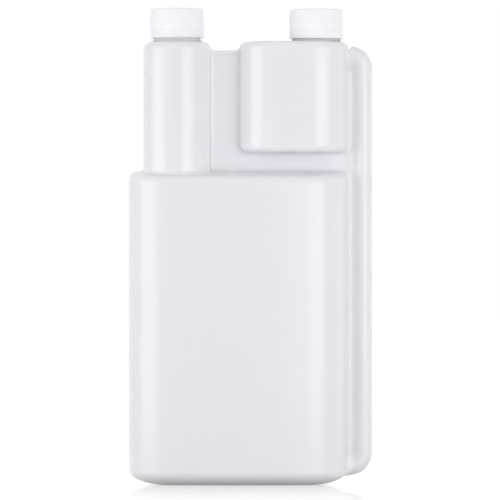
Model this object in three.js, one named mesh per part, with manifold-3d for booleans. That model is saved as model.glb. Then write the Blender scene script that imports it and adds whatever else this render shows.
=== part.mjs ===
// A one litre twin-neck dosing bottle with its two screw caps. Millimetres, +Z up.
// The origin is under the middle of the bottle, on the surface that it stands on.
// +X points to the transfer tube and -Y to the front. The mould parts on the plane y = 0.
import * as THREE from "three";
import { mergeVertices } from "three/addons/utils/BufferGeometryUtils.js";
import Module from "manifold-3d";

// Blown wall
const wall = 1.2;
const webThickness = 2.2;

// Reservoir, the large lower part
const bodyWidth = 123.4;
const bodyDepth = 57;
const bodyHeight = 175.8;
const bodyCornerRadius = 25;
const bodySideFlat = 3.2;
const bodyTopEdge = 4.5;
const bodyBottomEdge = 8;
const bodyBottomReach = 18;
const baseArchHeight = 1.6;
const baseArchHalfWidth = 8.5;

// Filling column on the reservoir's left
const columnRadius = 18.9;
const columnInset = 8.3;
const columnHeight = 72.9;
const shoulderEdge = 4.2;

// Dosing chamber at the upper right
const chamberWidth = 61.3;
const chamberDepth = 45;
const chamberHeight = 62.3;
const chamberEdge = 4.3;
const dosingNeckInset = 18;

// Transfer tube down the right side
const tubeReach = 13.3;
const tubeHalfWidth = 4.8;
const tubeHalfDepth = 6.5;
const tubeTopDrop = 2.5;
const tubeBottomRise = 5.2;
const tubeTopBend = 7.4;
const tubeBottomBend = 7.8;
const tubeOverlap = 5;
const webTopDrop = 4.7;

// Necks and screw caps
const neckRadius = 12.8;
const neckWall = 1.9;
const fillingNeckHeight = 15.6;
const dosingNeckHeight = 15.1;
const capRadius = 15;
const capHeight = 16.4;
const capRoof = 1.6;
const capWall = 1.05;
const capBandHeight = 3.6;
const capRimHeight = 3.6;
const capRimStep = 0.5;
const capTopEdge = 1.3;
const capGrooveWidth = 0.7;
const capGrooveDepth = 0.25;
const ribCount = 90;
const ribDepth = 0.3;
const linerThickness = 1;
const linerClearance = 0.7;
const seatGap = 0.2;

// Facets
const roundSegments = 44;
const cornerSegments = 7;
const crownSegments = 6;
const edgeSegments = 4;
const tubeSegments = 14;
const bendSteps = 5;
const cutMargin = 1;
const mergeDistance = 1e-3;

// Places that follow from the sizes above
const bodyLeft = -(bodyWidth + tubeReach) / 2;
const bodyRight = bodyLeft + bodyWidth;
const bodyCentre = bodyLeft + bodyWidth / 2;
const columnX = bodyLeft + columnInset + columnRadius;
const shoulderZ = bodyHeight + columnHeight;
const chamberX = bodyRight - chamberWidth / 2;
const dosingNeckX = bodyRight - dosingNeckInset;
const tubeX = bodyRight + tubeReach - tubeHalfWidth;
const tubeTopZ = shoulderZ - tubeTopDrop - tubeHalfWidth;
const tubeBottomZ = tubeBottomRise + tubeHalfWidth;
const webTopZ = shoulderZ - webTopDrop;

const wasm = await Module();
wasm.setup();

// Booleans work on closed bodies that share their vertices.
function solid(geometry) {
  const bare = geometry.clone();
  bare.deleteAttribute("normal");
  bare.deleteAttribute("uv");
  const merged = mergeVertices(bare, mergeDistance / 10);
  return new wasm.Manifold(
    new wasm.Mesh({
      numProp: 3,
      vertProperties: new Float32Array(merged.attributes.position.array),
      triVerts: new Uint32Array(merged.index.array),
    }),
  );
}

function named(name, body, material) {
  const data = body.getMesh();
  const geometry = new THREE.BufferGeometry();
  geometry.setAttribute("position", new THREE.BufferAttribute(data.vertProperties, 3));
  geometry.setIndex(new THREE.BufferAttribute(data.triVerts, 1));
  geometry.computeVertexNormals();
  const mesh = new THREE.Mesh(geometry, material);
  mesh.name = name;
  return mesh;
}

// A plan outline with round corners and a gently crowned front and back.
// Each crown is one arc that runs smoothly into the corners beside it.
function crownedOutline(width, depth, wantedCorner, sideFlat) {
  const corner = Math.min(wantedCorner, depth / 2, width / 2);
  const cornerX = width / 2 - corner;
  const cornerY = sideFlat / 2;
  const reach = depth / 2 - corner;
  const quarter = Math.PI / 2;
  if (reach - cornerY < mergeDistance) {
    const shape = new THREE.Shape();
    shape.absarc(cornerX, -reach, corner, -quarter, 0, false);
    shape.absarc(cornerX, reach, corner, 0, quarter, false);
    shape.absarc(-cornerX, reach, corner, quarter, 2 * quarter, false);
    shape.absarc(-cornerX, -reach, corner, 2 * quarter, 3 * quarter, false);
    return outlineOf(shape.getPoints(cornerSegments));
  }
  const crownY = (cornerX ** 2 + cornerY ** 2 - reach ** 2) / (2 * (reach - cornerY));
  const crownRadius = crownY + depth / 2;
  const lean = Math.asin(cornerX / (crownRadius - corner));
  const points = [];
  const arc = (x, y, radius, from, to, count) => {
    for (let i = 0; i < count; i += 1) {
      const angle = from + ((to - from) * i) / count;
      points.push(new THREE.Vector2(x + radius * Math.cos(angle), y + radius * Math.sin(angle)));
    }
  };
  const cornerSpan = quarter - lean;
  arc(0, crownY, crownRadius, -quarter - lean, -quarter + lean, crownSegments);
  arc(cornerX, -cornerY, corner, -cornerSpan, 0, cornerSegments);
  points.push(new THREE.Vector2(cornerX + corner, -cornerY));
  arc(cornerX, cornerY, corner, 0, cornerSpan, cornerSegments);
  arc(0, -crownY, crownRadius, quarter - lean, quarter + lean, crownSegments);
  arc(-cornerX, cornerY, corner, quarter + lean, 2 * quarter, cornerSegments);
  points.push(new THREE.Vector2(-cornerX - corner, cornerY));
  arc(-cornerX, -cornerY, corner, 2 * quarter, 3 * quarter - lean, cornerSegments);
  return outlineOf(points);
}

// Drops points that repeat the one before them.
function outlineOf(points) {
  const apart = (a, b) => a.distanceTo(b) > mergeDistance;
  const kept = points.filter((point, i) => i === 0 || apart(point, points[i - 1]));
  if (!apart(kept[0], kept[kept.length - 1])) kept.pop();
  return new THREE.Shape(kept);
}

// An upright body of one plan outline with rolled top and bottom edges.
// Each roll is edge high and reaches in by reach.
function pod(outline, centreX, low, high, edge, reach = edge) {
  const geometry = new THREE.ExtrudeGeometry(outline, {
    depth: high - low - 2 * edge,
    bevelThickness: edge,
    bevelSize: reach,
    bevelOffset: -reach,
    bevelSegments: edgeSegments,
  });
  geometry.translate(centreX, 0, low + edge);
  return solid(geometry);
}

// A turned body: its profile is a list of radius and height pairs from the axis back to the axis.
function turned(profile, centreX) {
  const points = profile.map(([radius, height]) => new THREE.Vector2(radius, height));
  const geometry = new THREE.LatheGeometry(points, roundSegments);
  geometry.rotateX(Math.PI / 2);
  geometry.translate(centreX, 0, 0);
  return solid(geometry);
}

// The points of a quarter round that rolls a wall into the face above it.
function rolledEdge(radius, height, edge) {
  const points = [];
  for (let i = 0; i <= edgeSegments; i += 1) {
    const angle = ((Math.PI / 2) * i) / edgeSegments;
    points.push([radius - edge + edge * Math.cos(angle), height - edge + edge * Math.sin(angle)]);
  }
  return points;
}

function cylinder(radius, low, high, centreX) {
  return turned([[0, low], [radius, low], [radius, high], [0, high]], centreX);
}

// The raised underside between the front and back standing strips, along the whole base.
function baseArch(halfWidth, height) {
  const shape = new THREE.Shape();
  shape.moveTo(-halfWidth, 0);
  shape.bezierCurveTo(-halfWidth / 2, 0, -halfWidth / 2, height, 0, height);
  shape.bezierCurveTo(halfWidth / 2, height, halfWidth / 2, 0, halfWidth, 0);
  shape.lineTo(halfWidth, -cutMargin);
  shape.lineTo(-halfWidth, -cutMargin);
  const length = bodyWidth + 2 * cutMargin;
  const geometry = new THREE.ExtrudeGeometry(shape, {
    depth: length,
    bevelEnabled: false,
    curveSegments: crownSegments,
  });
  geometry.rotateX(Math.PI / 2);
  geometry.rotateZ(Math.PI / 2);
  geometry.translate(bodyCentre - length / 2, 0, 0);
  return solid(geometry);
}

// The reservoir: its lower part has the long roll at the base, its upper part the tighter one.
function reservoir(inset) {
  const outline = crownedOutline(
    bodyWidth - 2 * inset,
    bodyDepth - 2 * inset,
    bodyCornerRadius - inset,
    bodySideFlat,
  );
  const middle = bodyHeight / 2;
  const foot = bodyBottomEdge - inset;
  const low = pod(outline, bodyCentre, inset, middle + bodyBottomEdge, foot, bodyBottomReach - inset);
  const high = pod(outline, bodyCentre, middle - bodyTopEdge, bodyHeight - inset, bodyTopEdge - inset);
  return low.add(high).subtract(baseArch(baseArchHalfWidth + inset, baseArchHeight + inset));
}

// The round filling column, from inside the reservoir up to its shoulder.
function column(inset) {
  const low = bodyHeight - bodyTopEdge - wall;
  const radius = columnRadius - inset;
  const profile = [[0, low], [radius, low]];
  profile.push(...rolledEdge(radius, shoulderZ - inset, shoulderEdge - inset));
  profile.push([0, shoulderZ - inset]);
  return turned(profile, columnX);
}

// The dosing chamber, with full round ends.
function chamber(inset) {
  const depth = chamberDepth - 2 * inset;
  const outline = crownedOutline(chamberWidth - 2 * inset, depth, depth / 2, 0);
  const low = shoulderZ - chamberHeight + inset;
  return pod(outline, chamberX, low, shoulderZ - inset, chamberEdge - inset);
}

// A flat path whose steps lie in its bends, with none spent on its straight runs.
class BentPath extends THREE.Curve {
  constructor(stations) {
    super();
    this.stations = stations;
  }

  getPoint(t) {
    const last = this.stations.length - 1;
    const place = Math.min(Math.max(t, 0), 1) * last;
    const index = Math.min(Math.floor(place), last - 1);
    return this.stations[index].clone().lerp(this.stations[index + 1], place - index);
  }

  getUtoTmapping(u) {
    return u;
  }
}

// The transfer tube: out of the chamber's side, down, and into the foot of the reservoir.
function transferTube(inset) {
  const start = bodyRight - tubeOverlap;
  const stations = [new THREE.Vector3(start, 0, tubeTopZ)];
  const bend = (centreZ, radius, from) => {
    for (let i = 0; i <= bendSteps; i += 1) {
      const angle = from - ((Math.PI / 2) * i) / bendSteps;
      const x = tubeX - radius + radius * Math.cos(angle);
      stations.push(new THREE.Vector3(x, 0, centreZ + radius * Math.sin(angle)));
    }
  };
  bend(tubeTopZ - tubeTopBend, tubeTopBend, Math.PI / 2);
  bend(tubeBottomZ + tubeBottomBend, tubeBottomBend, 0);
  stations.push(new THREE.Vector3(start, 0, tubeBottomZ));
  const section = new THREE.Shape();
  const points = [];
  for (let i = 0; i < tubeSegments; i += 1) {
    const angle = (2 * Math.PI * i) / tubeSegments;
    const across = (tubeHalfWidth - inset) * Math.cos(angle);
    points.push(new THREE.Vector2(across, (tubeHalfDepth - inset) * Math.sin(angle)));
  }
  section.setFromPoints(points);
  const geometry = new THREE.ExtrudeGeometry(section, {
    steps: stations.length - 1,
    extrudePath: new BentPath(stations),
  });
  return solid(geometry);
}

// The flat web that joins column, chamber, reservoir and tube where the two mould halves pinch.
function web() {
  const shape = new THREE.Shape();
  shape.moveTo(columnX, tubeBottomZ);
  shape.lineTo(tubeX, tubeBottomZ);
  shape.lineTo(tubeX, tubeTopZ);
  shape.lineTo(chamberX, tubeTopZ);
  shape.lineTo(chamberX, webTopZ);
  shape.lineTo(columnX, webTopZ);
  const geometry = new THREE.ExtrudeGeometry(shape, { depth: webThickness, bevelEnabled: false });
  geometry.rotateX(Math.PI / 2);
  geometry.translate(0, webThickness / 2, 0);
  return solid(geometry);
}

// A neck above the shoulder, or the bore through it when inset is the wall of the neck.
function neck(centreX, height, inset) {
  const low = shoulderZ - shoulderEdge;
  const high = shoulderZ + height + (inset > 0 ? cutMargin : 0);
  return cylinder(neckRadius - inset, low, high, centreX);
}

function bottle() {
  const outside = reservoir(0)
    .add(column(0))
    .add(chamber(0))
    .add(transferTube(0))
    .add(web())
    .add(neck(columnX, fillingNeckHeight, 0))
    .add(neck(dosingNeckX, dosingNeckHeight, 0));
  const inside = reservoir(wall)
    .add(column(wall))
    .add(chamber(wall))
    .add(transferTube(wall))
    .add(neck(columnX, fillingNeckHeight, neckWall))
    .add(neck(dosingNeckX, dosingNeckHeight, neckWall));
  return outside.subtract(inside);
}

// The grip of a cap: upright ribs all round.
function ribbedRing(low, high) {
  const points = [];
  for (let i = 0; i < 2 * ribCount; i += 1) {
    const angle = (Math.PI * i) / ribCount;
    const radius = i % 2 ? capRadius - ribDepth : capRadius;
    points.push(new THREE.Vector2(radius * Math.cos(angle), radius * Math.sin(angle)));
  }
  const geometry = new THREE.ExtrudeGeometry(new THREE.Shape(points), {
    depth: high - low,
    bevelEnabled: false,
  });
  geometry.translate(0, 0, low);
  return solid(geometry);
}

// A screw cap with its open end down at height 0: plain band with a groove, ribbed grip, smooth rim.
function screwCap() {
  const rimRadius = capRadius - capRimStep;
  const rimLow = capHeight - capRimHeight;
  const grooveLow = (capBandHeight - capGrooveWidth) / 2;
  const grooveRadius = capRadius - capGrooveDepth;
  const core = turned(
    [
      [0, 0],
      [capRadius, 0],
      [capRadius, grooveLow],
      [grooveRadius, grooveLow],
      [grooveRadius, grooveLow + capGrooveWidth],
      [capRadius, grooveLow + capGrooveWidth],
      [capRadius, capBandHeight],
      [capRadius - ribDepth, capBandHeight],
      [rimRadius, rimLow],
      ...rolledEdge(rimRadius, capHeight, capTopEdge),
      [0, capHeight],
    ],
    0,
  );
  const bore = cylinder(capRadius - capWall, -cutMargin, capHeight - capRoof, 0);
  return core.add(ribbedRing(capBandHeight, rimLow)).subtract(bore);
}

function liner() {
  return cylinder(capRadius - capWall - linerClearance, 0, linerThickness, 0);
}

// One neck's closure: the sealing disc lies on the neck and the cap's roof lies on the disc.
function closure(name, capName, linerName, centreX, neckHeight) {
  const group = new THREE.Group();
  group.name = name;
  group.position.set(centreX, 0, shoulderZ + neckHeight + seatGap);
  const disc = named(linerName, liner(), foamMaterial);
  const cap = named(capName, screwCap(), capMaterial);
  cap.position.z = linerThickness + seatGap + capRoof - capHeight;
  group.add(disc, cap);
  return group;
}

const bottleMaterial = new THREE.MeshStandardMaterial({
  color: 0xe9eaee,
  roughness: 0.38,
  metalness: 0,
  transparent: true,
  opacity: 0.92,
});
const capMaterial = new THREE.MeshStandardMaterial({ color: 0xf7f7fa, roughness: 0.3, metalness: 0 });
const foamMaterial = new THREE.MeshStandardMaterial({ color: 0xf0f0ec, roughness: 0.9, metalness: 0 });

const part = new THREE.Group();
part.name = "dosing_bottle";
part.add(named("bottle", bottle(), bottleMaterial));
part.add(closure("filling_closure", "reservoir_cap", "reservoir_cap_liner", columnX, fillingNeckHeight));
part.add(closure("dosing_closure", "dosing_cap", "dosing_cap_liner", dosingNeckX, dosingNeckHeight));

export default part;
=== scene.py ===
# A one litre dosing bottle of natural polyethylene with two white screw caps.
import math

import bpy
import numpy as np
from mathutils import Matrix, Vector


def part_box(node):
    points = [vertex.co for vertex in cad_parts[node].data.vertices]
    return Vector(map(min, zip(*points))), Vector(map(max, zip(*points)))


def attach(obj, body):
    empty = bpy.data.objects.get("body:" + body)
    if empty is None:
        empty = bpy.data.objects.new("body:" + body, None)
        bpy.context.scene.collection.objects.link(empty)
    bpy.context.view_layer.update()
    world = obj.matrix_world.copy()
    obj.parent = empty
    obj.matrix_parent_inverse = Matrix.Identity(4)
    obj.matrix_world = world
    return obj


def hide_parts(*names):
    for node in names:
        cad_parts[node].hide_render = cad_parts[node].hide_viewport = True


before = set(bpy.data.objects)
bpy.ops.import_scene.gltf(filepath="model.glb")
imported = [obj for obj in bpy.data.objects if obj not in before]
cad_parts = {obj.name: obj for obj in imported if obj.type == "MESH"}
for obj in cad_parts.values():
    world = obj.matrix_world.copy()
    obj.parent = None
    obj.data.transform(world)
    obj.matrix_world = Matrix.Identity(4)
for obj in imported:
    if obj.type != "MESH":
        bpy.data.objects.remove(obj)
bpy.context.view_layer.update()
mm = 0.001
bottleLow, bottleHigh = (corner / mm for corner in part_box("bottle"))
capBoxes = {name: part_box(name) for name in ("reservoir_cap", "dosing_cap")}
print("frame loaded")


# The camera looks level at the mould's parting plane, at the photograph's scale.
camera = {
    "viewWidth": 281.25,  # millimetres across the picture at the parting plane
    "distance": 2600,
    "height": 131.7,
    "side": -0.17,
    "sensor": 36,
    "clipEnd": 20,  # metres
}


def makeCamera():
    data = bpy.data.cameras.new("camera")
    data.sensor_width = camera["sensor"]
    data.lens = camera["sensor"] * camera["distance"] / camera["viewWidth"]
    data.clip_end = camera["clipEnd"]
    eye = bpy.data.objects.new("camera", data)
    eye.location = Vector((camera["side"], -camera["distance"], camera["height"])) * mm
    eye.rotation_euler = (math.radians(90), 0, 0)
    bpy.context.scene.collection.objects.link(eye)
    bpy.context.scene.camera = eye
    bpy.context.scene.view_settings.view_transform = "Standard"


makeCamera()
print("camera placed")


# Smooth solids: each shape is a distance field in millimetres, negative inside it.
def smoothMin(a, b, reach):
    near = np.maximum(reach - np.abs(a - b), 0) / reach
    return np.minimum(a, b) - near**2 * reach / 4


def rolledJoin(a, b, radius):
    # The part common to two shapes, with the edge between them rolled.
    u = a + radius
    v = b + radius
    outer = np.hypot(np.maximum(u, 0), np.maximum(v, 0))
    return np.minimum(np.maximum(u, v), 0) + outer - radius


def ovalJoin(a, b, reachA, reachB):
    # The same with an edge rolled on an oval, which reaches a different way into each shape.
    u = np.maximum(a + reachA, 0) / reachA
    v = np.maximum(b + reachB, 0) / reachB
    scaled = np.hypot(u, v)
    steep = np.hypot(u / reachA, v / reachB)
    oval = scaled * (scaled - 1) / np.maximum(steep, 1e-6)
    return np.where(scaled > 1e-6, oval, -min(reachA, reachB))


def smoothStep(low, high, value):
    t = np.clip((value - low) / (high - low), 0, 1)
    return t * t * (3 - 2 * t)


def gridLines(runs, end):
    # Each run is where it starts and its spacing; the last one stops at end.
    lines = []
    starts = [start for start, _ in runs] + [end]
    for (start, step), stop in zip(runs, starts[1:]):
        count = max(1, round((stop - start) / step))
        lines.extend(np.linspace(start, stop, count, endpoint=False))
    return np.array(lines + [end])


# How the points are pulled onto the surface.
netSettings = {
    "slopeReach": 0.02,
    "pullLimit": 0.6,
    "pulls": 3,
    "leastSlope": 0.05,
}


def gradient(field, points):
    reach = netSettings["slopeReach"]
    slopes = []
    for axis in range(3):
        shift = np.zeros(3)
        shift[axis] = reach
        ahead = field(*(points + shift).T)
        behind = field(*(points - shift).T)
        slopes.append((ahead - behind) / (2 * reach))
    return np.stack(slopes, 1)


def surfaceOf(field, lines):
    # Surface nets: one point in each cell that the surface crosses, one quad for each crossed line.
    values = field(*np.meshgrid(*lines, indexing="ij"))
    inside = values < 0
    shape = np.array(values.shape) - 1
    corners = [(i, j, k) for i in (0, 1) for j in (0, 1) for k in (0, 1)]
    count = np.zeros(shape, np.int8)
    for i, j, k in corners:
        count += inside[i : i + shape[0], j : j + shape[1], k : k + shape[2]]
    cells = np.argwhere((count > 0) & (count < 8))
    total = np.zeros((len(cells), 3))
    crossings = np.zeros(len(cells))
    for axis in range(3):
        for corner in corners:
            if corner[axis]:
                continue
            first = cells + corner
            second = first.copy()
            second[:, axis] += 1
            a = values[tuple(first.T)]
            b = values[tuple(second.T)]
            crossed = (a < 0) != (b < 0)
            share = np.where(crossed, a / np.where(crossed, a - b, 1), 0)
            start = np.stack([lines[n][first[:, n]] for n in range(3)], 1)
            start[:, axis] += share * (lines[axis][second[:, axis]] - start[:, axis])
            total += start * crossed[:, None]
            crossings += crossed
    points = total / crossings[:, None]
    number = np.full(shape, -1)
    number[tuple(cells.T)] = np.arange(len(cells))
    quads = []
    for axis in range(3):
        b, c = (axis + 1) % 3, (axis + 2) % 3
        near = [slice(None)] * 3
        far = [slice(None)] * 3
        near[axis] = slice(0, -1)
        far[axis] = slice(1, None)
        for other in (b, c):
            near[other] = far[other] = slice(1, -1)
        first, second = inside[tuple(near)], inside[tuple(far)]
        for outwards in (True, False):
            at = np.argwhere((first != second) & (first == outwards))
            at[:, b] += 1
            at[:, c] += 1
            ring = []
            for stepB, stepC in ((-1, -1), (0, -1), (0, 0), (-1, 0)):
                cell = at.copy()
                cell[:, b] += stepB
                cell[:, c] += stepC
                ring.append(number[tuple(cell.T)])
            quads.append(np.stack(ring if outwards else ring[::-1], 1))
    limit = netSettings["pullLimit"]
    for _ in range(netSettings["pulls"]):
        slope = gradient(field, points)
        size = np.maximum((slope**2).sum(1), netSettings["leastSlope"])
        move = np.clip(field(*points.T) / size, -limit, limit)
        points = points - slope * move[:, None]
    return points, np.concatenate(quads)


def meshOf(name, points, faces):
    data = bpy.data.meshes.new(name)
    data.from_pydata((np.asarray(points) * mm).tolist(), [], np.asarray(faces).tolist())
    data.validate()
    thing = bpy.data.objects.new(name, data)
    bpy.context.scene.collection.objects.link(thing)
    return thing


# The bottle, in millimetres.
bottleSizes = {
    "wall": 1.2,
    "bodyWidth": 123.4,
    "bodyHeight": 175.8,
    "bodyCorner": 25,
    "bodySideFlat": 3.2,
    "bodyTopEdge": 4.5,
    "bodyBottomEdge": 8,
    "bodyBottomReach": 18,  # the base rolls in this far all round
    "bodyEndReach": 25,  # and this far at its two ends
    "topDraft": 0.12,  # the top's fall for each millimetre from the parting plane
    "topDraftEase": 1.5,
    "archHeight": 1.6,
    "archHalfWidth": 8.5,
    "columnRadius": 18.9,
    "columnInset": 8.3,
    "shoulderZ": 248.7,
    "shoulderEdge": 4.2,
    "chamberWidth": 61.3,
    "chamberDepth": 41.4,
    "chamberHeight": 62.3,
    "chamberEdge": 4.3,
    "dosingNeckInset": 18,
    "tubeHalfWidth": 4.8,
    "tubeHalfDepth": 6.5,
    "tubeTopDrop": 2.5,
    "tubeBottomRise": 5.2,
    "tubeTopBend": 7.4,
    "tubeBottomBend": 7.8,
    "tubeOverlap": 5,
    "notchRadius": 1.6,  # between the chamber's shoulder and the top of the tube
    "notchOut": 0.1,
    "notchFillet": 1,
    "webThickness": 2.2,
    "webEnd": 2.6,  # the web's edge inside the tube, from the tube's centre line
    "webTopDrop": 4.7,
    "beadRadius": 1.5,
    "beadFillet": 0.8,
    "neckRadius": 12.8,
    "neckWall": 1.9,
    "neckEdge": 0.5,
    "fillingNeckHeight": 15.6,
    "dosingNeckHeight": 15.1,
    "seamHeight": 0.12,
    "seamWidth": 0.3,
    "seamLow": 1,
    "seamFull": 7,
    "seamFade": 2,
    "columnFillet": 2.6,  # where the column stands on the reservoir
    "tubeFillet": 6.6,
    "webFillet": 1.8,
    "grooveFillet": 4,  # in the groove between the tube and the pods
    "neckFillet": 3.2,
    "insideFillet": 1,
    "boreFillet": 1.5,
    "boreOver": 2,  # the bore's cutter stands out of the neck
    "pinchHeight": 0.6,
    "pinchWidth": 0.7,
}
threadSizes = {
    "lead": 4.23,
    "depth": 0.9,
    "halfWidth": 0.95,
    "crest": 0.35,  # share of the half width that is flat on top
    "low": 5.3,  # above the shoulder
    "topDrop": 2.2,  # below the neck's rim
    "fade": 1.1,
}
s = bottleSizes
bodyLeft = bottleLow.x
bodyRight = bodyLeft + s["bodyWidth"]
bodyCentre = (bodyLeft + bodyRight) / 2
bodyDepth = bottleHigh.y - bottleLow.y
columnX = bodyLeft + s["columnInset"] + s["columnRadius"]
chamberX = bodyRight - s["chamberWidth"] / 2
dosingNeckX = bodyRight - s["dosingNeckInset"]
tubeX = bottleHigh.x - s["tubeHalfWidth"]
tubeTopZ = s["shoulderZ"] - s["tubeTopDrop"] - s["tubeHalfWidth"]
tubeBottomZ = s["tubeBottomRise"] + s["tubeHalfWidth"]
webTopZ = s["shoulderZ"] - s["webTopDrop"]
neckPlaces = (
    (columnX, s["shoulderZ"] + s["fillingNeckHeight"]),
    (dosingNeckX, s["shoulderZ"] + s["dosingNeckHeight"]),
)


def crownedPlan(x, y, width, depth, corner, sideFlat):
    # Round corners, with a gently crowned front and back that run smoothly into them.
    cornerX = width / 2 - corner
    cornerY = sideFlat / 2
    reach = depth / 2 - corner
    crownY = (cornerX**2 + cornerY**2 - reach**2) / (2 * (reach - cornerY))
    crownRadius = crownY + depth / 2
    lean = math.asin(cornerX / (crownRadius - corner))
    x = np.abs(x)
    y = np.abs(y)
    crown = np.hypot(x, y + crownY) - crownRadius
    side = np.where(y < cornerY, x - width / 2, np.hypot(x - cornerX, y - cornerY) - corner)
    return np.where(np.arctan2(x, y + crownY) <= lean, crown, side)


def reservoir(x, y, z, inset):
    sizes = (s["bodyWidth"], bodyDepth, s["bodyCorner"], s["bodySideFlat"])
    plan = crownedPlan(x - bodyCentre, y, *sizes)
    fall = s["topDraft"] * (np.hypot(y, s["topDraftEase"]) - s["topDraftEase"])
    top = z - (s["bodyHeight"] - fall)
    arch = s["archHeight"] * (1 - smoothStep(0, s["archHalfWidth"], np.abs(y)))
    pinch = s["pinchHeight"] * np.exp(-((y / s["pinchWidth"]) ** 2))
    if inset:
        pinch = 0
    low = arch - pinch - z
    high = rolledJoin(plan + inset, top + inset, s["bodyTopEdge"] - inset)
    edge = s["bodyBottomEdge"] - inset
    foot = ovalJoin(plan + inset, low + inset, s["bodyBottomReach"] - inset, edge)
    end = np.abs(x - bodyCentre) - s["bodyWidth"] / 2 + inset
    ends = ovalJoin(end, low + inset, s["bodyEndReach"] - inset, edge)
    return np.maximum(high, np.maximum(foot, ends))


def column(x, y, z, inset):
    side = np.hypot(x - columnX, y) - s["columnRadius"] + inset
    top = z - s["shoulderZ"] + inset
    foot = s["bodyHeight"] - s["bodyTopEdge"] - s["wall"] - z
    return np.maximum(rolledJoin(side, top, s["shoulderEdge"] - inset), foot)


def chamber(x, y, z, inset):
    radius = s["chamberDepth"] / 2
    flat = s["chamberWidth"] / 2 - radius
    plan = np.hypot(np.maximum(np.abs(x - chamberX) - flat, 0), y) - radius + inset
    top = z - s["shoulderZ"] + inset
    low = s["shoulderZ"] - s["chamberHeight"] - z + inset
    edge = s["chamberEdge"] - inset
    return np.maximum(rolledJoin(plan, top, edge), rolledJoin(plan, low, edge))


def tubeLoop(x, z):
    # Distance in the parting plane to the tube's centre line, negative on the bottle's side of it.
    middle = (tubeTopZ + tubeBottomZ) / 2
    high = rolledJoin(x - tubeX, z - tubeTopZ, s["tubeTopBend"])
    low = rolledJoin(x - tubeX, tubeBottomZ - z, s["tubeBottomBend"])
    return np.where(z > middle, high, low)


def transferTube(x, y, z, inset):
    across = tubeLoop(x, z)
    halfWidth = s["tubeHalfWidth"] - inset
    halfDepth = s["tubeHalfDepth"] - inset
    scaled = np.hypot(across / halfWidth, y / halfDepth)
    steep = np.hypot(across / halfWidth**2, y / halfDepth**2)
    oval = scaled * (scaled - 1) / np.maximum(steep, 0.01)
    return np.maximum(oval, bodyRight - s["tubeOverlap"] - x)


def web(x, y, z):
    half = s["webThickness"] / 2
    end = s["webEnd"] * smoothStep(chamberX, bodyRight, x)
    region = np.maximum(np.maximum(tubeLoop(x, z) + end, z - webTopZ), columnX - x)
    sheet = rolledJoin(region, np.abs(y) - half, half / 2)
    bead = np.hypot(z - (webTopZ - s["beadRadius"]), y) - s["beadRadius"]
    bead = np.maximum(np.maximum(bead, columnX - x), x - chamberX)
    return smoothMin(sheet, bead, s["beadFillet"])


def threadRidge(angle, z, low, high, phase):
    # Height of a right-hand thread's ridge at an angle and a height.
    t = threadSizes
    turn = z / t["lead"] - angle / (2 * math.pi) - phase
    off = (turn - np.round(turn)) * t["lead"]
    ridgeZ = z - off
    begun = smoothStep(low, low + t["fade"], ridgeZ)
    ended = smoothStep(high - t["fade"], high, ridgeZ)
    slope = smoothStep(t["halfWidth"] * t["crest"], t["halfWidth"], np.abs(off))
    return begun * (1 - ended) * (1 - slope)


def neck(x, y, z, centreX, rim):
    t = threadSizes
    angle = np.arctan2(y, x - centreX)
    ridge = threadRidge(angle, z - rim, t["low"] + s["shoulderZ"] - rim, -t["topDrop"], 0)
    wallSide = np.hypot(x - centreX, y) - s["neckRadius"]
    stub = rolledJoin(wallSide, z - rim, s["neckEdge"])
    root = s["shoulderZ"] - s["shoulderEdge"] - z
    return np.maximum(np.maximum(stub - ridge * t["depth"], z - rim), root)


def notchGap(x, z):
    # Distance to the gap between the chamber's shoulder and the top of the tube.
    high = webTopZ + s["notchRadius"]
    return np.hypot(x - bodyRight - s["notchOut"], z - high) - s["notchRadius"]


def bottleOutside(x, y, z):
    pods = smoothMin(reservoir(x, y, z, 0), column(x, y, z, 0), s["columnFillet"])
    pods = np.minimum(pods, chamber(x, y, z, 0))
    tube = -smoothMin(-transferTube(x, y, z, 0), notchGap(x, z), s["notchFillet"])
    plates = smoothMin(web(x, y, z), tube, s["tubeFillet"])
    grooveTop = tubeTopZ - s["tubeTopBend"]
    groove = smoothStep(bodyRight - s["grooveFillet"], bodyRight, x)
    groove = groove * (1 - smoothStep(grooveTop - s["grooveFillet"], grooveTop, z))
    shell = smoothMin(pods, plates, s["webFillet"] + (s["grooveFillet"] - s["webFillet"]) * groove)
    seam = s["seamHeight"] * smoothStep(s["seamLow"], s["seamFull"], z)
    fade = s["seamFade"]
    seam = seam * (1 - smoothStep(s["shoulderZ"] - fade, s["shoulderZ"] + fade, z))
    shell = shell + seam * (1 - np.exp(-((y / s["seamWidth"]) ** 2)))
    for centreX, rim in neckPlaces:
        shell = smoothMin(shell, neck(x, y, z, centreX, rim), s["neckFillet"])
    return shell


def bottleInside(x, y, z):
    wall = s["wall"]
    hollow = smoothMin(reservoir(x, y, z, wall), column(x, y, z, wall), s["insideFillet"])
    hollow = np.minimum(hollow, chamber(x, y, z, wall))
    tube = np.maximum(transferTube(x, y, z, wall), wall - notchGap(x, z))
    hollow = smoothMin(hollow, tube, s["insideFillet"])
    for centreX, rim in neckPlaces:
        bore = np.hypot(x - centreX, y) - s["neckRadius"] + s["neckWall"]
        bore = np.maximum(bore, s["shoulderZ"] - s["shoulderEdge"] - z)
        hollow = smoothMin(hollow, np.maximum(bore, z - rim - s["boreOver"]), s["boreFillet"])
    return hollow


def bothSides(positive):
    return np.concatenate([-positive[:0:-1], positive])


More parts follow.
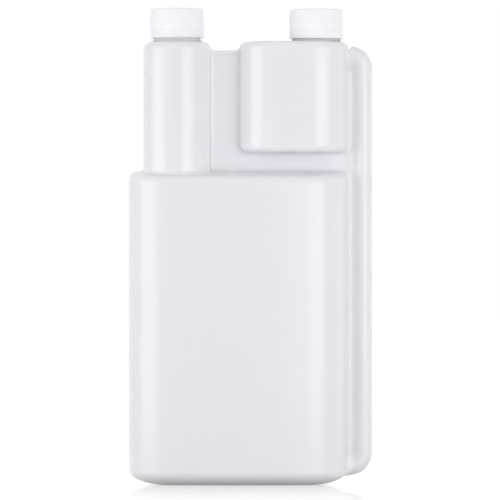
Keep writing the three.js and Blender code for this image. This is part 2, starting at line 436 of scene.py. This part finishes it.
# Where the grids are fine: at the edges, the tube, the seam and the threads.
outsideGrid = {
    "x": gridLines(
        [
            (-69.5, 1.25), (-43, 1.45), (-22, 2.2), (-7, 1.25),
            (0, 1.8), (26, 1.4), (45, 1.1), (54, 0.75),
        ],
        69.5,
    ),
    "y": bothSides(gridLines(
        [(0, 0.22), (1.1, 0.35), (2.5, 0.65), (6, 0.95), (9, 1.35), (22, 1.1)],
        29.5,
    )),
    "z": gridLines(
        [
            (-1, 0.8), (10, 1.4), (19, 3.3), (164, 0.95), (178.5, 1.3),
            (185, 0.85), (192, 2.6), (229, 0.85), (252, 0.44),
        ],
        265.6,
    ),
}
insideGrid = {
    "x": gridLines([(-68.3, 1.7), (-28, 3.2), (24, 1.7), (54, 1.1)], 69.3),
    "y": bothSides(gridLines([(0, 1.2), (6, 1.7)], 28.5)),
    "z": gridLines(
        [(0, 1.2), (14, 4), (165, 1.4), (178, 2.4), (184, 1.2), (194, 4), (226, 1.25)],
        268,
    ),
}


def cutWith(piece, tool):
    cut = piece.modifiers.new("cut", "BOOLEAN")
    cut.operation = "DIFFERENCE"
    cut.solver = "MANIFOLD"
    cut.object = tool
    graph = bpy.context.evaluated_depsgraph_get()
    data = bpy.data.meshes.new_from_object(piece.evaluated_get(graph))
    piece.modifiers.clear()
    old = piece.data
    piece.data = data
    bpy.data.meshes.remove(old)
    bpy.data.objects.remove(tool)
    data.name = piece.name


def makeBottle():
    shell = meshOf("bottle_shell", *surfaceOf(bottleOutside, list(outsideGrid.values())))
    hollow = meshOf("hollow", *surfaceOf(bottleInside, list(insideGrid.values())))
    print("bottle skins:", len(shell.data.polygons), len(hollow.data.polygons))
    cutWith(shell, hollow)
    data = shell.data
    points = np.zeros(len(data.vertices) * 3)
    data.vertices.foreach_get("co", points)
    points = points.reshape(-1, 3) / mm
    offOutside = np.abs(bottleOutside(*points.T))
    offInside = np.abs(bottleInside(*points.T))
    outer = gradient(bottleOutside, points)
    inner = -gradient(bottleInside, points)
    normals = np.where((offOutside < offInside)[:, None], outer, inner)
    normals /= np.maximum(np.linalg.norm(normals, axis=1), 1e-6)[:, None]
    data.polygons.foreach_set("use_smooth", np.ones(len(data.polygons), bool))
    data.normals_split_custom_set_from_vertices(normals.tolist())
    # Marks the points near the parting plane, the pinched web most, where the material paints shade into
    # the colour.
    half = s["webThickness"] / 2
    paintedWebShade = 1 - smoothStep(half, s["tubeHalfDepth"], np.abs(points[:, 1]))
    mark = data.attributes.new("paintedWebShade", "FLOAT", "POINT")
    mark.data.foreach_set("value", paintedWebShade)
    return shell


bottle = makeBottle()
print("bottle made:", len(bottle.data.polygons), "faces")


# The screw caps, in millimetres from the cap's own open end.
capSizes = {
    "radius": 15,
    "height": 16.4,
    "roof": 1.6,
    "wall": 1.05,
    "rimHeight": 3.6,
    "rimStep": 0.25,
    "topEdge": 1,
    "topDish": 0.25,
    "dishRadius": 11.8,
    "gateRadius": 1.1,
    "ribCount": 90,
    "ribDepth": 0.18,
    "stepsPerRib": 6,
    "ribEase": 0.5,
    "valleyPower": 0.8,
    "threadPhase": 0.5,
    "bandHeight": 3.6,
    "grooveDepth": 0.2,
    "grooveHalf": 0.22,
    "lineZ": 1.15,
    "lineDepth": 0.14,
    "lineHalf": 0.16,
    "footEdge": 0.3,
    "threadDepth": 0.8,
    "threadLow": 2.2,
    "threadHigh": 12,
    "rimAbove": 13.4,  # the neck's rim above the cap's open end
}


def capRows():
    # From the top's centre, down the outside and back up inside: radius, height, rib share.
    c = capSizes
    high = c["height"]
    rim = c["radius"] - c["rimStep"]
    gripTop = high - c["rimHeight"]
    rows = [
        (0.5, high - 0.05, 0),
        (c["gateRadius"], high - 0.07, 0),
        (c["gateRadius"] + 0.35, high - c["topDish"], 0),
        (c["dishRadius"] * 0.6, high - c["topDish"], 0),
        (c["dishRadius"], high - c["topDish"], 0),
        (c["dishRadius"] + 0.4, high - c["topDish"] * 0.3, 0),
    ]
    for step in range(9):
        turn = math.pi / 2 * step / 8
        reach = rim - c["topEdge"] + c["topEdge"] * math.sin(turn)
        rows.append((reach, high - c["topEdge"] + c["topEdge"] * math.cos(turn), 0))
    rows += [(rim + 0.02, gripTop + 0.5, 0), (rim + 0.03, gripTop + 0.12, 0)]
    for step in range(7):
        share = step / 6
        ease = share * share * (3 - 2 * share)
        reach = rim + 0.05 + (c["rimStep"] - 0.05) * ease
        rows.append((reach, gripTop - c["ribEase"] * share, ease))
    gripLow = c["bandHeight"] + c["grooveHalf"] * 2
    for share in (0.25, 0.5, 0.75):
        start = gripTop - c["ribEase"]
        rows.append((c["radius"], start + (gripLow + 0.3 - start) * share, 1))
    rows += [(c["radius"], gripLow + 0.3, 1), (c["radius"] - 0.04, gripLow + 0.12, 0.9)]
    for centre, depth, half in (
        (c["bandHeight"] + c["grooveHalf"], c["grooveDepth"], c["grooveHalf"]),
        (c["lineZ"], c["lineDepth"], c["lineHalf"]),
    ):
        for off in (1, 0.55, 0, -0.55, -1):
            rows.append((c["radius"] - depth * (1 - off * off), centre + half * off, 0))
        rows.append((c["radius"], centre - half - 0.15, 0))
    for step in range(1, 6):
        turn = math.pi / 2 * step / 5
        reach = c["radius"] - c["footEdge"] + c["footEdge"] * math.cos(turn)
        rows.append((reach, c["footEdge"] * (1 - math.sin(turn)), 0))
    bore = c["radius"] - c["wall"]
    rows += [(bore + 0.25, 0, 0), (bore + 0.06, 0.1, 0), (bore, 0.3, 0)]
    inside = [(bore, z) for z in np.arange(0.7, c["height"] - c["roof"] - 0.5, 0.27)]
    return rows, inside + [(bore, c["height"] - c["roof"] - 0.3)]


def capPoints(phase):
    c = capSizes
    count = c["ribCount"] * c["stepsPerRib"]
    angle = np.arange(count) * 2 * math.pi / count
    # A rib is a narrow round ridge, and a wider shallow valley lies between two.
    wave = 0.5 + 0.5 * np.cos(angle * c["ribCount"])
    valley = 1 - wave ** c["valleyPower"]
    rows, inside = capRows()
    rings = []
    for radius, height, share in rows:
        rings.append((radius - c["ribDepth"] * share * valley, np.full(count, height)))
    for radius, height in inside:
        level = np.full(count, height - c["rimAbove"])
        low, high = c["threadLow"] - c["rimAbove"], c["threadHigh"] - c["rimAbove"]
        ridge = threadRidge(angle, level, low, high, phase)
        rings.append((radius - c["threadDepth"] * ridge, np.full(count, height)))
    roof = c["height"] - c["roof"]
    bore = c["radius"] - c["wall"]
    ceiling = ((bore - 0.1, roof - 0.08), (bore - 0.35, roof), (bore * 0.5, roof), (0.6, roof))
    for radius, height in ceiling:
        rings.append((np.full(count, radius), np.full(count, height)))
    return angle, rings


def makeCap(name, node):
    low, high = capBoxes[node]
    centre = (low + high) / 2 / mm
    angle, rings = capPoints(capSizes["threadPhase"])
    count = len(angle)
    points = [(0, 0, capSizes["height"] - 0.05)]
    for radius, height in rings:
        radius = np.broadcast_to(radius, (count,))
        points.extend(zip(radius * np.cos(angle), radius * np.sin(angle), height))
    points.append((0, 0, capSizes["height"] - capSizes["roof"]))
    last = len(points) - 1
    faces = []
    following = [(n + 1) % count for n in range(count)]
    for n in range(count):
        faces.append((0, 1 + n, 1 + following[n]))
        base = last - count
        faces.append((base + n, last, base + following[n]))
    for row in range(len(rings) - 1):
        a = 1 + row * count
        b = a + count
        faces.extend((a + n, b + n, b + following[n], a + following[n]) for n in range(count))
    shift = np.array((centre.x, centre.y, low.z / mm))
    data = bpy.data.meshes.new(name)
    data.from_pydata(((np.array(points) + shift) * mm).tolist(), [], faces)
    data.polygons.foreach_set("use_smooth", np.ones(len(data.polygons), bool))
    cap = bpy.data.objects.new(name, data)
    bpy.context.scene.collection.objects.link(cap)
    return cap


reservoirCap = makeCap("reservoir_screw_cap", "reservoir_cap")
dosingCap = makeCap("dosing_screw_cap", "dosing_cap")
print("caps made:", len(reservoirCap.data.polygons), "faces each")


# Materials. A few small helpers keep the node trees short.
def newMaterial(name):
    material = bpy.data.materials.new(name)
    material.use_nodes = True
    nodes = material.node_tree.nodes
    return material, nodes, material.node_tree.links, nodes["Principled BSDF"]


def addNode(nodes, links, kind, inputs=None, **settings):
    node = nodes.new(kind)
    for key, value in settings.items():
        setattr(node, key, value)
    for key, value in (inputs or {}).items():
        if isinstance(value, bpy.types.NodeSocket):
            links.new(value, node.inputs[key])
        else:
            node.inputs[key].default_value = value
    return node


def addMath(nodes, links, operation, *values):
    inputs = dict(enumerate(values))
    return addNode(nodes, links, "ShaderNodeMath", inputs, operation=operation).outputs[0]


def addRange(nodes, links, value, **limits):
    names = {"fromLow": "From Min", "fromHigh": "From Max", "toLow": "To Min", "toHigh": "To Max"}
    inputs = {"Value": value}
    for key, limit in limits.items():
        inputs[names[key]] = limit
    return addNode(nodes, links, "ShaderNodeMapRange", inputs).outputs[0]


def addColourMix(nodes, links, factor, first, second):
    inputs = {"Factor": factor, "A": first, "B": second}
    return addNode(nodes, links, "ShaderNodeMix", inputs, data_type="RGBA").outputs["Result"]


def addNoise(nodes, links, place, scale, detail):
    inputs = {"Vector": place, "Scale": scale, "Detail": detail}
    return addNode(nodes, links, "ShaderNodeTexNoise", inputs).outputs[0]


def addBump(nodes, links, height, depth, strength):
    inputs = {"Height": height, "Distance": depth, "Strength": strength}
    return addNode(nodes, links, "ShaderNodeBump", inputs).outputs[0]


def newGroup(name, inputs, outputs):
    group = bpy.data.node_groups.new(name, "ShaderNodeTree")
    for socket, value in inputs.items():
        made = group.interface.new_socket(name=socket, in_out="INPUT", socket_type="NodeSocketFloat")
        made.default_value = value
    for socket in outputs:
        group.interface.new_socket(name=socket, in_out="OUTPUT", socket_type="NodeSocketFloat")
    nodes = group.nodes
    return group, nodes, group.links, nodes.new("NodeGroupInput"), nodes.new("NodeGroupOutput")


wearMarks = {
    "turn": (0.4, 0.9, 0.2),
    "stretch": (1, 1, 14),  # draws the marks out into thin lines
    "lineDetail": 4,
    "lineLow": 0.62,
    "lineHigh": 0.72,
    "patchScale": 18,
    "patchLow": 0.5,
    "patchHigh": 0.7,
}


def mouldedSkinGroup():
    # Fine mould grain as a height, and slow variation as a mask.
    group, nodes, links, given, result = newGroup(
        "mouldedSkin", {"Grain Scale": 900, "Flow Scale": 25}, ["Height", "Flow"]
    )
    place = nodes.new("ShaderNodeTexCoord").outputs["Object"]
    grain = addNoise(nodes, links, place, given.outputs["Grain Scale"], 3)
    flow = addNoise(nodes, links, place, given.outputs["Flow Scale"], 2)
    links.new(grain, result.inputs["Height"])
    links.new(flow, result.inputs["Flow"])
    return group


def handlingWearGroup():
    # Sparse fine scratches in a few rubbed places, as a mask.
    w = wearMarks
    group, nodes, links, given, result = newGroup("handlingWear", {"Scale": 40, "Amount": 0.5}, ["Wear"])
    place = nodes.new("ShaderNodeTexCoord").outputs["Object"]
    turned = addNode(nodes, links, "ShaderNodeMapping", {
        "Vector": place,
        "Rotation": w["turn"],
        "Scale": w["stretch"],
    })
    lines = addNoise(nodes, links, turned.outputs[0], given.outputs["Scale"], w["lineDetail"])
    thin = addRange(nodes, links, lines, fromLow=w["lineLow"], fromHigh=w["lineHigh"])
    patch = addNoise(nodes, links, place, w["patchScale"], 1)
    where = addRange(nodes, links, patch, fromLow=w["patchLow"], fromHigh=w["patchHigh"])
    both = addMath(nodes, links, "MULTIPLY", thin, where)
    scaled = addMath(nodes, links, "MULTIPLY", both, given.outputs["Amount"])
    links.new(scaled, result.inputs["Wear"])
    return group


mouldedSkin = mouldedSkinGroup()
handlingWear = handlingWearGroup()

naturalPlastic = {
    "light": (0.91, 0.902, 0.96, 1),
    "dark": (0.9, 0.892, 0.95, 1),
    "paintedWebShade": (0.82, 0.812, 0.845, 1),  # painted shade: darker on the pinched web, which lies recessed between the pods where shade falls
    "roughness": 0.24,
    "roughnessSpread": 0.02,
    "wearRoughness": -0.03,
    "wearScale": 60,
    "wearAmount": 0.6,
    "scatter": 0.5,
    "scatterScale": 0.004,
    "grainScale": 1400,
    "grainDepth": 0.00001,
    "flowScale": 22,
    "flowDepth": 0.00006,
    "bending": 1.5,  # index of refraction
}
whitePlastic = {
    "light": (0.9, 0.893, 0.93, 1),
    "dark": (0.89, 0.883, 0.92, 1),
    "roughness": 0.33,
    "roughnessSpread": 0.04,
    "wearRoughness": 0.08,
    "wearScale": 120,
    "wearAmount": 0.8,
    "scatter": 0.1,
    "scatterScale": 0.0006,
    "grainScale": 2000,
    "grainDepth": 0.000008,
    "flowScale": 70,
    "bending": 1.49,
}
foam = {
    "light": (0.86, 0.86, 0.83, 1),
    "dark": (0.72, 0.72, 0.69, 1),
    "roughness": 0.85,
    "roughnessSpread": 0.05,
    "cellScale": 2600,
    "cellDepth": 0.00012,
    "cellStrength": 0.6,
}


def spreadRoughness(nodes, links, flow, p):
    low = p["roughness"] - p["roughnessSpread"]
    high = p["roughness"] + p["roughnessSpread"]
    return addRange(nodes, links, flow, toLow=low, toHigh=high)


def mouldedPlastic(name, p):
    # The colour drifts slowly, rubbed places differ in gloss, and light scatters inside.
    material, nodes, links, shader = newMaterial(name)
    skin = addNode(nodes, links, "ShaderNodeGroup", node_tree=mouldedSkin)
    skin.inputs["Grain Scale"].default_value = p["grainScale"]
    skin.inputs["Flow Scale"].default_value = p["flowScale"]
    wear = addNode(nodes, links, "ShaderNodeGroup", node_tree=handlingWear)
    wear.inputs["Scale"].default_value = p["wearScale"]
    wear.inputs["Amount"].default_value = p["wearAmount"]
    flow = skin.outputs["Flow"]
    colour = addColourMix(nodes, links, flow, p["light"], p["dark"])
    # Painted shade: near the parting plane the colour turns darker, standing in for the shade on the
    # recessed web between the pods.
    if "paintedWebShade" in p:
        webShadeMask = addNode(nodes, links, "ShaderNodeAttribute", attribute_name="paintedWebShade")
        colour = addColourMix(nodes, links, webShadeMask.outputs["Fac"], colour, p["paintedWebShade"])
    rough = spreadRoughness(nodes, links, flow, p)
    rubbed = addMath(nodes, links, "MULTIPLY_ADD", wear.outputs["Wear"], p["wearRoughness"], rough)
    height = skin.outputs["Height"]
    if "flowDepth" in p:
        height = addMath(nodes, links, "MULTIPLY_ADD", flow, p["flowDepth"] / p["grainDepth"], height)
    bump = addBump(nodes, links, height, p["grainDepth"], 1)
    links.new(colour, shader.inputs["Base Color"])
    links.new(rubbed, shader.inputs["Roughness"])
    links.new(bump, shader.inputs["Normal"])
    shader.inputs["Subsurface Weight"].default_value = p["scatter"]
    shader.inputs["Subsurface Radius"].default_value = (1, 1, 1)
    shader.inputs["Subsurface Scale"].default_value = p["scatterScale"]
    shader.inputs["IOR"].default_value = p["bending"]
    return material


def linerFoam():
    p = foam
    material, nodes, links, shader = newMaterial("liner_foam")
    place = nodes.new("ShaderNodeTexCoord").outputs["Object"]
    voronoi = addNode(nodes, links, "ShaderNodeTexVoronoi", {"Vector": place, "Scale": p["cellScale"]})
    cells = voronoi.outputs["Distance"]
    skin = addNode(nodes, links, "ShaderNodeGroup", node_tree=mouldedSkin)
    colour = addColourMix(nodes, links, cells, p["dark"], p["light"])
    links.new(colour, shader.inputs["Base Color"])
    links.new(spreadRoughness(nodes, links, skin.outputs["Flow"], p), shader.inputs["Roughness"])
    links.new(addBump(nodes, links, cells, p["cellDepth"], p["cellStrength"]), shader.inputs["Normal"])
    return material


def dress(piece, material):
    piece.data.materials.clear()
    piece.data.materials.append(material)


bottlePlastic = mouldedPlastic("natural_polyethylene", naturalPlastic)
capPlastic = mouldedPlastic("white_polypropylene", whitePlastic)
discFoam = linerFoam()
dress(bottle, bottlePlastic)
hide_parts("bottle")
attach(bottle, "bottle_body")
for cap, node in ((reservoirCap, "reservoir_cap"), (dosingCap, "dosing_cap")):
    dress(cap, capPlastic)
    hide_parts(node)
    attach(cap, node + "_body")
for node in ("reservoir_cap_liner", "dosing_cap_liner"):
    dress(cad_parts[node], discFoam)
print("materials made")


# The studio: a white floor that keeps a soft shadow and a faint mirror image, and soft light.
studio = {
    "floorHalf": 6,
    "mirror": 0.42,
    "mirrorRoughness": 0.03,
    "floorGlow": 0.8,
    "floorTint": 0.42,
    "worldFill": 0.59,
}
softBoxes = {
    "left": {
        "azimuth": -67, "distance": 0.7, "height": 0.19,
        "width": 0.58, "tall": 0.42, "power": 1.8,
    },
    "right": {
        "azimuth": 34, "distance": 0.7, "height": 0.19,
        "width": 0.5, "tall": 0.4, "power": 1.8,
    },
    "rear": {
        "azimuth": 115, "distance": 0.7, "height": 0.19,
        "width": 0.45, "tall": 0.4, "power": 0.3,
    },
    "top": {
        "azimuth": 0, "distance": 0, "height": 1.25,
        "width": 1, "tall": 1, "power": 1.2,
    },
}


def seenRays(nodes, links):
    # 1 for rays from the camera and for mirror and see-through rays, else 0.
    path = nodes.new("ShaderNodeLightPath").outputs
    direct = addMath(nodes, links, "MAXIMUM", path["Is Camera Ray"], path["Is Glossy Ray"])
    return addMath(nodes, links, "MAXIMUM", direct, path["Is Transmission Ray"])


def makeWorld():
    world = bpy.data.worlds.new("studio_world")
    bpy.context.scene.world = world
    world.use_nodes = True
    nodes, links = world.node_tree.nodes, world.node_tree.links
    sky = nodes["Background"]
    sky.inputs["Color"].default_value = (1, 1, 1, 1)
    strength = addRange(nodes, links, seenRays(nodes, links), toLow=studio["worldFill"], toHigh=1)
    links.new(strength, sky.inputs["Strength"])


def makeFloor():
    half = studio["floorHalf"]
    corners = [(-half, -half, 0), (half, -half, 0), (half, half, 0), (-half, half, 0)]
    data = bpy.data.meshes.new("floor")
    data.from_pydata(corners, [], [(0, 1, 2, 3)])
    floor = bpy.data.objects.new("floor", data)
    bpy.context.scene.collection.objects.link(floor)
    material = bpy.data.materials.new("studio_floor")
    material.use_nodes = True
    nodes, links = material.node_tree.nodes, material.node_tree.links
    nodes.clear()
    tint = studio["floorTint"]
    matt = addNode(nodes, links, "ShaderNodeBsdfDiffuse", {"Color": (tint, tint, tint, 1)})
    strength = addMath(nodes, links, "MULTIPLY", seenRays(nodes, links), studio["floorGlow"])
    glow = addNode(nodes, links, "ShaderNodeEmission", {"Strength": strength})
    lit = addNode(nodes, links, "ShaderNodeAddShader", {0: matt.outputs[0], 1: glow.outputs[0]})
    shine = addNode(nodes, links, "ShaderNodeBsdfGlossy", {
        "Color": (1, 1, 1, 1),
        "Roughness": studio["mirrorRoughness"],
    })
    both = addNode(nodes, links, "ShaderNodeMixShader", {
        0: studio["mirror"],
        1: lit.outputs[0],
        2: shine.outputs[0],
    })
    end = nodes.new("ShaderNodeOutputMaterial")
    links.new(both.outputs[0], end.inputs["Surface"])
    data.materials.append(material)


def makeSoftBoxes():
    for name, box in softBoxes.items():
        data = bpy.data.lights.new("softbox_" + name, "AREA")
        data.shape = "RECTANGLE"
        data.size = box["width"]
        data.size_y = box["tall"]
        data.energy = box["power"]
        lamp = bpy.data.objects.new("softbox_" + name, data)
        turn = math.radians(box["azimuth"])
        away = box["distance"]
        lamp.location = (away * math.sin(turn), -away * math.cos(turn), box["height"])
        aim = Vector((0, 0, camera["height"] * mm)) - lamp.location
        lamp.rotation_euler = aim.to_track_quat("-Z", "Y").to_euler()
        lamp.visible_camera = False
        bpy.context.scene.collection.objects.link(lamp)


makeWorld()
makeFloor()
makeSoftBoxes()
print("studio made")
